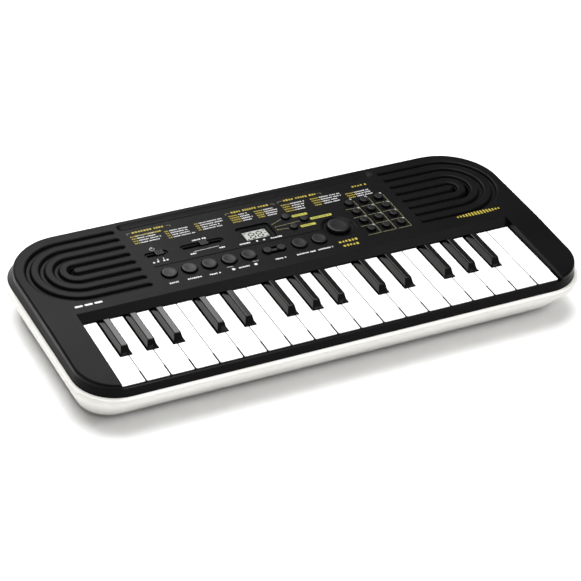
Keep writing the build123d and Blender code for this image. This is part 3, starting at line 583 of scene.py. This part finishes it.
@dataclass
class LowerCase:
    """White lower case with its tapered hull, battery door, feet and screws."""

    ease: float = 0.35 * MM
    rim_foot: float = 28.0 * MM

    def build(self) -> None:
        """Builds the hull, the door, the feet and the screws."""
        hull = node_copy("bottom_case")
        ease_edges(hull, self.ease, lambda ends: float(max(end.z for end in ends) < self.rim_foot))
        dress(hull, Finish.CASE_WHITE.material())
        stand_in_for(hull, "bottom_case", "case")
        door = node_copy("battery_door", 0.2 * MM)
        dress(door, Finish.CASE_WHITE.material())
        stand_in_for(door, "battery_door", "battery_door")
        self._feet()
        screws = node_copy("case_screws", 0.12 * MM)
        dress(screws, Finish.STEEL.material())
        stand_in_for(screws, "case_screws", "case")

    def _feet(self) -> None:
        """Round pads with a domed rim and a shallow dished sole."""
        low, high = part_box("feet")
        radius = 6.5 * MM
        bpy.ops.mesh.primitive_cylinder_add(vertices=48, radius=radius, depth=high.z - low.z)
        foot = bpy.context.active_object
        bpy.ops.object.mode_set(mode="EDIT")
        pick_faces(foot, lambda face: face.normal.z < -0.99)
        bpy.ops.mesh.inset(thickness=1.6 * MM)
        bpy.ops.mesh.inset(thickness=0.4 * MM, depth=-0.4 * MM)
        bpy.ops.object.mode_set(mode="OBJECT")
        ease = foot.modifiers.new("eased", "BEVEL")
        ease.width, ease.segments, ease.angle_limit = 0.5 * MM, 3, math.radians(40)
        apply_all(foot)
        middle = (high.z + low.z) / 2
        spots = [
            Vector((x, y, middle))
            for x in (low.x + radius, high.x - radius)
            for y in (low.y + radius, high.y - radius)
        ]
        feet = place_copies(foot, spots, "feet_pads")
        smooth(feet)
        dress(feet, Finish.FOOT.material())
        stand_in_for(feet, "feet", "case")


@dataclass
class Keybed:
    """The white and black keys."""

    whites: int = 19
    blacks: int = 13
    ease_white: float = 0.25 * MM

    def build(self) -> None:
        """Builds every key from its frame node; a black key's cap is rounded there already."""
        for index in range(1, self.whites + 1):
            self._key(f"white_key_{index:02d}", Finish.KEY_WHITE, self.ease_white)
        for index in range(1, self.blacks + 1):
            self._key(f"black_key_{index:02d}", Finish.KEY_BLACK, 0.0)

    def _key(self, name: str, finish: Finish, ease: float) -> None:
        """Builds one key.

        Args:
            name: The key's node and body name.
            finish: Its finish.
            ease: Width of its eased edges.
        """
        key = node_copy(name, ease, 50.0)
        dress(key, finish.material())
        stand_in_for(key, name, name)


class Crown(Enum):
    """Shape of a button's top: how far it is dished in or domed up, in metres."""

    DISHED = -0.25 * MM
    DOMED = 0.35 * MM


@dataclass
class Button:
    """One round button: cap, skirt under the panel and stem."""

    radius: float
    top: float
    crown: Crown
    under: float = 45.9 * MM
    foot: float = 43.2 * MM
    flange: float = 1.0 * MM
    edge: float = 0.7 * MM

    def model(self) -> bpy.types.Object:
        """Models the button round the origin in X and Y, at its real heights.

        Returns:
            The button's object.
        """
        bpy.ops.mesh.primitive_cylinder_add(
            vertices=64,
            radius=self.radius / 2,
            depth=self.under - self.flange - self.foot,
            location=(0, 0, (self.under - self.flange + self.foot) / 2),
        )
        piece = bpy.context.active_object
        bake_place(piece)
        bpy.ops.object.mode_set(mode="EDIT")
        self._grow(piece, self.radius + self.flange, self.flange)
        self._shrink(piece, self.radius)
        self._raise(piece, self.top - self.under)
        bpy.ops.mesh.bevel(offset=self.edge, segments=4, affect="EDGES")
        pick_faces(piece, lambda face: faces_up(face) and face.center.z > self.top - 0.02 * MM)
        bpy.ops.mesh.inset(thickness=self.radius * 0.28)
        rise = 0.0 if self.crown is Crown.DOMED else self.crown.value
        bpy.ops.transform.translate(value=(0, 0, rise * 0.5))
        bpy.ops.mesh.inset(thickness=self.radius * 0.3)
        bpy.ops.transform.translate(value=(0, 0, rise * 0.5))
        bpy.ops.object.mode_set(mode="OBJECT")
        return piece

    def _grow(self, piece: bpy.types.Object, radius: float, height: float) -> None:
        """Widens the top face to a flange and lifts it."""
        pick_faces(piece, lambda face: faces_up(face))
        bpy.ops.mesh.extrude_region_move(TRANSFORM_OT_translate={"value": (0, 0, 0)})
        size = radius / (self.radius / 2)
        bpy.ops.transform.resize(value=(size, size, 1))
        bpy.ops.mesh.extrude_region_move(TRANSFORM_OT_translate={"value": (0, 0, height)})

    def _shrink(self, piece: bpy.types.Object, radius: float) -> None:
        """Insets the top face to the cap's radius."""
        bpy.ops.mesh.inset(thickness=self.radius + self.flange - radius)

    def _raise(self, piece: bpy.types.Object, height: float) -> None:
        """Lifts the cap through the panel."""
        bpy.ops.mesh.extrude_region_move(TRANSFORM_OT_translate={"value": (0, 0, height)})


@dataclass
class Controls:
    """Every button, the rocker and the two sliders."""

    pad_pitch: Point = (14.0 * MM, 13.3 * MM)

    def build(self) -> None:
        """Builds the buttons and sliders."""
        for index in range(1, 8):
            self._round(f"row_button_{index}", Crown.DISHED)
        for index in range(1, 4):
            self._round(f"mode_button_{index}", Crown.DOMED)
        self._round("start_stop_button", Crown.DISHED, under=44.9 * MM, edge=1.3 * MM)
        self._number_pad()
        for name in ("tempo_rocker", "power_slider", "volume_slider"):
            piece = node_copy(name, 0.2 * MM, 40.0)
            dress(piece, Finish.BUTTON.material())
            stand_in_for(piece, name, name)

    def _round(self, name: str, crown: Crown, under: float = 45.9 * MM, edge: float = 0.7 * MM) -> None:
        """Builds one round button where its frame node is.

        Args:
            name: The button's node and body name.
            crown: Shape of its top.
            under: Height of the panel's underside there, which its flange lies against.
            edge: Rounding round its cap.
        """
        low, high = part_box(name)
        model = Button((high.x - low.x) / 2 - Button.flange, high.z, crown, under, edge=edge).model()
        centre = Vector(((low.x + high.x) / 2, (low.y + high.y) / 2, 0))
        piece = place_copies(model, [centre], f"{name}_cap")
        smooth(piece)
        dress(piece, Finish.BUTTON.material())
        stand_in_for(piece, name, name)

    def _number_pad(self) -> None:
        """Builds the twelve number-pad buttons."""
        low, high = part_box("number_pad")
        middle = (low + high) / 2
        radius = (high.x - low.x) / 2 - self.pad_pitch[0] - Button.flange
        model = Button(radius, high.z, Crown.DOMED).model()
        spots = [
            Vector((middle.x + i * self.pad_pitch[0], middle.y + (1.5 - j) * self.pad_pitch[1], 0))
            for j in range(4)
            for i in (-1, 0, 1)
        ]
        piece = place_copies(model, spots, "number_pad_caps")
        smooth(piece)
        dress(piece, Finish.BUTTON.material())
        stand_in_for(piece, "number_pad", "number_pad")


@dataclass
class Display:
    """Liquid crystal display with dark segments, and the clear window over it."""

    digit: Point = (4.4 * MM, 7.8 * MM)
    stroke: float = 1.3 * MM
    border: float = 0.5 * MM

    def build(self) -> None:
        """Builds the grey field, its dark segments and the window."""
        module = node_copy("display_module")
        dress(module, Finish.LCD_FIELD.material())
        stand_in_for(module, "display_module", "case")
        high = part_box("display_module")[1]
        window_low, window_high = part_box("display_window")
        self._frame(window_low, window_high, high.z)
        middle = (window_low + window_high) / 2
        self._segments(middle.x, middle.y, high.z)
        window = node_copy("display_window", 0.15 * MM)
        dress(window, Finish.WINDOW.material())
        stand_in_for(window, "display_window", "case")

    def _frame(self, low: Vector, high: Vector, z: float) -> None:
        """Prints the thin black border round the display's field.

        Args:
            low: Lowest corner of the window over it.
            high: Highest corner of the window over it.
            z: Height of the field.
        """
        lines = InkSheet("display_border", z + 0.02 * MM, 0.04 * MM, 0.01)
        middle, wide = (low + high) / 2, self.border
        for x in (low.x + wide, high.x - wide):
            lines.bar(x, middle.y, wide, high.y - low.y - wide)
        for y in (low.y + wide, high.y - wide):
            lines.bar(middle.x, y, high.x - low.x - wide, wide)
        add_piece(lines.finish(Finish.LCD_BORDER), "case")

    def _segments(self, x: float, y: float, z: float) -> None:
        """Lays two seven-segment eights and a few marks on the display."""
        bars = InkSheet("display_segments", z + 0.02 * MM, 0.04 * MM)
        width, height = self.digit
        for side in (-0.62, 0.62):
            cx = x + side * (width + 1.2 * MM)
            for row in (-0.5, 0.0, 0.5):
                bars.bar(cx, y + row * height, width - self.stroke * 1.2, self.stroke)
            for column in (-0.5, 0.5):
                for row in (-0.25, 0.25):
                    bars.bar(
                        cx + column * width, y + row * height, self.stroke, height / 2 - self.stroke * 0.9
                    )
        for i, (dx, dy) in enumerate(((-8.4, 4.4), (-8.4, -4.2), (8.6, 4.4), (8.6, 0.2), (8.6, -4.2))):
            bars.bar(x + dx * MM, y + dy * MM, (1.8 if i % 2 else 2.4) * MM, 1.1 * MM)
        piece = bars.finish(Finish.LCD_MARK)
        add_piece(piece, "case")


@dataclass
class InkSheet:
    """A layer of thin printed shapes, all in one mesh."""

    name: str
    height: float
    thickness: float = 0.05 * MM
    corner: float = 0.2
    shapes: list[tuple[float, float, float, float, float]] = field(default_factory=list)

    def bar(self, x: float, y: float, width: float, depth: float, turn: float = 0.0) -> None:
        """Adds one rectangle, centred at x and y, turned in the panel by some radians."""
        self.shapes.append((x, y, width, depth, turn))

    def line(self, start: Point, end: Point, width: float) -> None:
        """Adds a straight line between two points."""
        dx, dy = end[0] - start[0], end[1] - start[1]
        self.bar(
            (start[0] + end[0]) / 2,
            (start[1] + end[1]) / 2,
            math.hypot(dx, dy) + width,
            width,
            math.atan2(dy, dx),
        )

    def words(
        self, x0: float, x1: float, y: float, height: float, rng: random.Random, gap: float = 0.35
    ) -> None:
        """Fills a stretch with small blocks in the rhythm of lettering.

        Args:
            x0: Left end.
            x1: Right end.
            y: Middle of the line.
            height: Height of the blocks.
            rng: Source of the uneven widths.
            gap: Space between blocks, as a share of the height.
        """
        x = x0
        count = 0
        limit = rng.randint(4, 8)
        while x < x1 - height * 0.3:
            width = min(height * rng.uniform(0.45, 0.85), x1 - x)
            lift = height * rng.choice((0.0, 0.0, 0.12, -0.12))
            tall = height * rng.uniform(0.72, 1.0)
            self.bar(x + width / 2, y + lift / 2, width, tall)
            x += width + height * gap
            count += 1
            if count == limit:
                x += height * 0.6
                count, limit = 0, rng.randint(4, 8)

    def finish(self, ink: Finish) -> bpy.types.Object:
        """Turns the shapes into one thin mesh.

        Args:
            ink: The ink that they are printed in.

        Returns:
            The finished piece.
        """
        deselect()
        bpy.ops.mesh.primitive_plane_add(size=1.0)
        stamp = bpy.context.active_object
        bpy.ops.object.mode_set(mode="EDIT")
        bpy.ops.mesh.bevel(offset=self.corner, segments=1, affect="VERTICES")
        bpy.ops.object.mode_set(mode="OBJECT")
        marks = []
        for x, y, width, depth, turn in self.shapes:
            mark = stamp.copy()
            mark.data = stamp.data.copy()
            bpy.context.collection.objects.link(mark)
            cut = self.corner * min(width, depth)
            for vertex in mark.data.vertices:
                for axis, size in enumerate((width, depth)):
                    reach = size / 2 if abs(vertex.co[axis]) > 0.45 else size / 2 - cut
                    vertex.co[axis] = math.copysign(reach, vertex.co[axis])
            mark.data.transform(Matrix.Translation((x, y, self.height)) @ Matrix.Rotation(turn, 4, "Z"))
            marks.append(mark)
        bpy.data.objects.remove(stamp)
        piece = join(marks, self.name)
        film = piece.modifiers.new("film", "SOLIDIFY")
        film.thickness, film.offset = self.thickness, 1.0
        apply_all(piece)
        dress(piece, ink.material())
        return piece


@dataclass
class PanelPrint:
    """Everything printed on the panel, with plain blocks in place of lettering."""

    top: float = 48.5 * MM
    lift: float = 0.01 * MM
    seed: int = 11
    labels: tuple[tuple[float, float, float], ...] = (
        (24.0, 38.0, 55.0),
        (37.0, 56.5, 46.6),
        (24.4, 38.2, 39.2),
    )

    def build(self) -> None:
        """Builds the white, yellow, pale and lime prints and the pad's digits."""
        rng = random.Random(self.seed)
        level = self.top + self.lift
        white = InkSheet("print_white", level)
        yellow = InkSheet("print_yellow", level)
        pale = InkSheet("print_pale", level)
        lime = InkSheet("print_lime", level)
        self._tables(white, yellow, pale, rng)
        self._captions(white, yellow, rng)
        self._icons(white)
        self._pad_lines(pale)
        self._pills(lime, pale)
        dark = InkSheet("print_dark", level + 0.05 * MM, 0.03 * MM)
        for x0, x1, y in self.labels:
            dark.words((x0 + 1.6) * MM, (x1 - 1.6) * MM, y * MM, 1.5 * MM, rng, 0.45)
        for sheet, ink in (
            (white, Finish.INK_WHITE),
            (yellow, Finish.INK_YELLOW),
            (pale, Finish.INK_PALE),
            (lime, Finish.INK_LIME),
            (dark, Finish.INK_DARK),
        ):
            add_piece(sheet.finish(ink), "case")
        self._digits(level)

    def _tables(self, white: InkSheet, yellow: InkSheet, pale: InkSheet, rng: random.Random) -> None:
        """Three headed tables along the rear of the panel."""
        heads = (
            (-113.3, -75.3, 79.9, -108.7, -79.8),
            (-26.2, 18.0, 78.0, -20.9, 13.7),
            (22.1, 62.4, 78.8, 27.7, 58.0),
        )
        for left, right, y, x0, x1 in heads:
            yellow.words(x0 * MM, x1 * MM, y * MM, 2.5 * MM, rng, 0.32)
            for edge, inner in ((left, x0 - 1.4), (right, x1 + 1.4)):
                pale.line((edge * MM, y * MM), (inner * MM, y * MM), 0.25 * MM)
                pale.line((edge * MM, y * MM), (edge * MM, (y - 2.2) * MM), 0.25 * MM)
        columns = (
            (-112.2, 74.4, 4, 3.3, 4.0, -87.5),
            (-83.2, 71.9, 4, 3.1, 3.2, -58.5),
            (-56.2, 73.3, 4, 3.1, 3.2, -31.0),
            (-25.0, 73.4, 4, 3.1, 8.0, -4.8),
            (-2.2, 72.6, 4, 3.0, 7.4, 18.0),
            (22.9, 72.8, 4, 3.2, 7.6, 45.5),
            (50.0, 72.8, 4, 3.2, 7.6, 79.0),
            (81.6, 69.3, 3, 3.1, 7.2, 105.5),
        )
        for x, y, rows, pitch, numbers, end in columns:
            for row in range(rows):
                level = (y - row * pitch) * MM
                yellow.words(x * MM, (x + numbers) * MM, level, 1.55 * MM, rng, 0.4)
                stop = end - rng.uniform(0.0, 0.32) * (end - x - numbers)
                white.words((x + numbers + 0.9) * MM, stop * MM, level, 1.5 * MM, rng, 0.34)
        yellow.words(-108.0 * MM, -83.5 * MM, 74.6 * MM, 2.0 * MM, rng, 0.25)

    def _captions(self, white: InkSheet, yellow: InkSheet, rng: random.Random) -> None:
        """Captions of the buttons, sliders and display, and the two plain marks."""
        lines = (
            (-108.5, -99.8, 3.9), (-93.0, -80.2, 3.9), (-74.2, -64.3, 3.3), (-48.6, -38.0, 3.6),
            (-15.8, -6.4, 3.8), (3.1, 19.9, 3.3), (22.5, 35.7, 3.5), (-67.5, -55.5, 52.2),
            (-76.5, -71.7, 34.9),
            (-51.3, -46.3, 35.0), (-33.9, -24.7, 33.2), (-6.2, 3.8, 32.5),
        )
        for x0, x1, y in lines:
            white.words(x0 * MM, x1 * MM, y * MM, 1.9 * MM, rng, 0.25)
        squares = (
            (-108.6, 34.6), (-104.9, 34.9), (-99.8, 34.7), (-96.9, 34.8), (-18.4, 33.0), (-12.2, 32.7)
        )
        for x, y in squares:
            white.bar(x * MM, y * MM, 1.7 * MM, 1.7 * MM)
        for x in (-53.2, -33.6):
            white.bar(x * MM, 3.6 * MM, 2.6 * MM, 2.6 * MM)
        white.line((-72.4 * MM, 37.4 * MM), (-50.5 * MM, 37.9 * MM), 0.35 * MM)
        for x0, x1 in ((-57.2, -52.0), (-34.6, -29.4)):
            white.line((x0 * MM, 7.6 * MM), (x1 * MM, 7.6 * MM), 0.3 * MM)
        for x, y in ((-104.2, 38.4), (-99.1, 38.4)):
            white.line((x * MM, y * MM), (x * MM, (y - 2.0) * MM), 0.5 * MM)
        yellow.words(42.8 * MM, 61.0 * MM, 6.9 * MM, 3.0 * MM, rng, 0.4)
        yellow.words(44.2 * MM, 59.6 * MM, 0.9 * MM, 3.0 * MM, rng, 0.4)
        yellow.words(91.6 * MM, 106.4 * MM, 77.4 * MM, 2.2 * MM, rng, 0.5)
        self._plain_marks(white, yellow)

    def _plain_marks(self, white: InkSheet, yellow: InkSheet) -> None:
        """Three even dashes at the left and a fan of level bars at the right of the front edge."""
        for index in range(3):
            white.bar((-186.6 + index * 8.2) * MM, 1.0 * MM, 6.6 * MM, 2.2 * MM)
        count, pitch = 15, 2.8
        for index in range(count):
            tall = 1.6 + 3.4 * math.sin(math.pi * (index + 0.5) / count)
            yellow.bar((153.5 + index * pitch) * MM, 4.4 * MM, 1.5 * MM, tall * MM)

    def _icons(self, white: InkSheet) -> None:
        """A ring with a tick over the power slider."""
        radius = 1.9 * MM
        for index in range(14):
            a = math.radians(115 + index * 23.0)
            b = math.radians(115 + (index + 1) * 23.0)
            start = (-102.8 * MM + radius * math.cos(a), 52.8 * MM + radius * math.sin(a))
            end = (-102.8 * MM + radius * math.cos(b), 52.8 * MM + radius * math.sin(b))
            white.line(start, end, 0.45 * MM)
        white.line((-102.8 * MM, 53.2 * MM), (-102.8 * MM, 55.2 * MM), 0.45 * MM)

    def _pad_lines(self, pale: InkSheet) -> None:
        """Bracket lines between the number-pad buttons."""
        low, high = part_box("number_pad")
        middle = (low + high) / 2
        for column in (-0.5, 0.5, 1.5):
            x = middle.x + column * 14.0 * MM - 1.2 * MM
            pale.line((x, middle.y + 22.5 * MM), (x, middle.y - 26.8 * MM), 0.28 * MM)
        for row in range(4):
            y = middle.y + (1.5 - row) * 13.3 * MM - 6.9 * MM
            for column in (-1, 0, 1):
                x = middle.x + column * 14.0 * MM
                pale.line((x - 6.4 * MM, y), (x + 5.8 * MM, y), 0.28 * MM)

    def _pills(self, lime: InkSheet, pale: InkSheet) -> None:
        """Coloured labels beside the mode buttons, and their leader lines."""
        for x0, x1, y in self.labels:
            lime.bar((x0 + x1) / 2 * MM, y * MM, (x1 - x0) * MM, 3.0 * MM)
        leaders = (
            ((3.8, 50.4), (13.6, 54.6)),
            ((4.6, 46.0), (27.4, 46.9)),
            ((4.4, 41.6), (14.4, 40.6)),
        )
        for start, end in leaders:
            pale.line((start[0] * MM, start[1] * MM), (end[0] * MM, end[1] * MM), 0.3 * MM)
            lime.bar(start[0] * MM, start[1] * MM, 0.9 * MM, 0.9 * MM)

    def _digits(self, level: float) -> None:
        """Digits beside the number-pad buttons."""
        low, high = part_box("number_pad")
        middle = (low + high) / 2
        signs = "7894561230-+"
        made = []
        for index, sign in enumerate(signs):
            column, row = index % 3 - 1, index // 3
            x = middle.x + column * 14.0 * MM + 3.4 * MM
            y = middle.y + (1.5 - row) * 13.3 * MM + 3.9 * MM
            deselect()
            bpy.ops.object.text_add(location=(x, y, level))
            text = bpy.context.active_object
            text.data.body = sign
            text.data.size = 4.0 * MM
            text.data.offset = 0.07 * MM
            text.data.extrude = 0.025 * MM
            text.data.resolution_u = 3
            focus(text)
            bpy.ops.object.convert(target="MESH")
            bake_place(text)
            made.append(text)
        digits = join(made, "print_digits")
        digits.data.transform(Matrix.Translation((0, 0, 0.025 * MM)))
        dress(digits, Finish.INK_WHITE.material())
        add_piece(digits, "case")


@dataclass
class Innards:
    """Pieces inside the case, and the sockets that show in its rear wall."""

    finishes: dict[str, tuple[Finish, str]] = field(
        default_factory=lambda: {
            "key_frame": (Finish.FRAME_GREY, "frame_plastic"),
            "key_contacts": (Finish.RUBBER, "contact_rubber"),
            "main_board": (Finish.CIRCUIT, "board"),
            "speaker_frames": (Finish.STEEL, "speaker_metal"),
            "speaker_cones": (Finish.CONE, "cone_paper"),
            "rear_sockets": (Finish.SOCKET, "socket_black"),
        }
    )

    def build(self) -> None:
        """Eases and dresses each inner piece."""
        for node, (finish, slot) in self.finishes.items():
            piece = node_copy(node, 0.12 * MM if node == "rear_sockets" else 0.0)
            dress(piece, finish.material())
            stand_in_for(piece, node, "case")


# ---------------------------------------------------------------------- studio


@dataclass
class Studio:
    """Pale floor, soft lights and the camera."""

    focal_pixels: float = 2248.832
    picture: int = 581
    azimuth: float = -28.969
    elevation: float = 35.19
    roll: float = 4.435
    distance: float = 1.81485
    aim_right: float = 3.867
    aim_up: float = -18.045
    aim_height: float = 34.2 * MM

    def build(self) -> None:
        """Builds the floor, the lights and the camera."""
        self._camera()
        self._floor()
        self._lights()

    def _camera(self) -> None:
        """Places the camera."""
        azimuth, elevation, roll = (math.radians(v) for v in (self.azimuth, self.elevation, self.roll))
        back = Vector(
            (
                math.sin(azimuth) * math.cos(elevation),
                -math.cos(azimuth) * math.cos(elevation),
                math.sin(elevation),
            )
        )
        right = Vector((math.cos(azimuth), math.sin(azimuth), 0))
        up = back.cross(right)
        turned_right = right * math.cos(roll) + up * math.sin(roll)
        turned_up = up * math.cos(roll) - right * math.sin(roll)
        scale = self.distance / self.focal_pixels
        place = back * self.distance - turned_right * self.aim_right * scale + turned_up * self.aim_up * scale
        place.z += self.aim_height
        data = bpy.data.cameras.new("camera")
        data.sensor_width = 36.0
        data.lens = 36.0 * self.focal_pixels / self.picture
        data.clip_start, data.clip_end = 0.05, 50.0
        camera = bpy.data.objects.new("camera", data)
        bpy.context.collection.objects.link(camera)
        camera.matrix_world = Matrix(
            (
                (turned_right.x, turned_up.x, back.x, place.x),
                (turned_right.y, turned_up.y, back.y, place.y),
                (turned_right.z, turned_up.z, back.z, place.z),
                (0, 0, 0, 1),
            )
        )
        bpy.context.scene.camera = camera

    def _floor(self) -> None:
        """Lays a wide pale floor."""
        deselect()
        bpy.ops.mesh.primitive_plane_add(size=30.0, location=(0, 0, 0))
        floor = bpy.context.active_object
        floor.name = "floor"
        made = bpy.data.materials.new("pale_floor")
        made.use_nodes = True
        shader = made.node_tree.nodes["Principled BSDF"]
        shader.inputs["Base Color"].default_value = linear("#fbfbfb")
        shader.inputs["Roughness"].default_value = 0.9
        shader.inputs["Specular IOR Level"].default_value = 0.1
        dress(floor, made)

    def _lights(self) -> None:
        """Sets a soft pale sky and three large soft boxes."""
        scene = bpy.context.scene
        scene.view_settings.view_transform = "Standard"
        scene.view_settings.look = "None"
        world = bpy.data.worlds.new("studio")
        scene.world = world
        world.use_nodes = True
        world.node_tree.nodes["Background"].inputs["Color"].default_value = (1, 1, 1, 1)
        world.node_tree.nodes["Background"].inputs["Strength"].default_value = 0.25
        boxes = (
            ("key_box", (-0.12, 0.3, 1.85), (0, 0, 0), 1.8, 1.6, 58.0),
            ("rear_box", (0.05, 1.4, 1.2), (0, 0, 0), 1.2, 0.6, 12.0),
            ("edge_box", (0.75, -1.05, 1.3), (0, 0, 0), 0.6, 0.4, 6.0),
        )
        for name, place, aim, width, height, power in boxes:
            data = bpy.data.lights.new(name, "AREA")
            data.shape = "RECTANGLE"
            data.size, data.size_y, data.energy = width, height, power
            lamp = bpy.data.objects.new(name, data)
            bpy.context.collection.objects.link(lamp)
            lamp.location = place
            lamp.rotation_euler = (Vector(place) - Vector(aim)).to_track_quat("Z", "Y").to_euler()


def main() -> None:
    """Builds the keyboard's looks in order."""
    logging.basicConfig(level=logging.INFO, format="%(name)s: %(message)s")
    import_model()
    parts = (UpperCase(), LowerCase(), Keybed(), Controls(), Display(), PanelPrint(), Innards(), Studio())
    for part in parts:
        LOG.info("building %s", type(part).__name__)
        part.build()


if __name__ == "__main__":
    main()
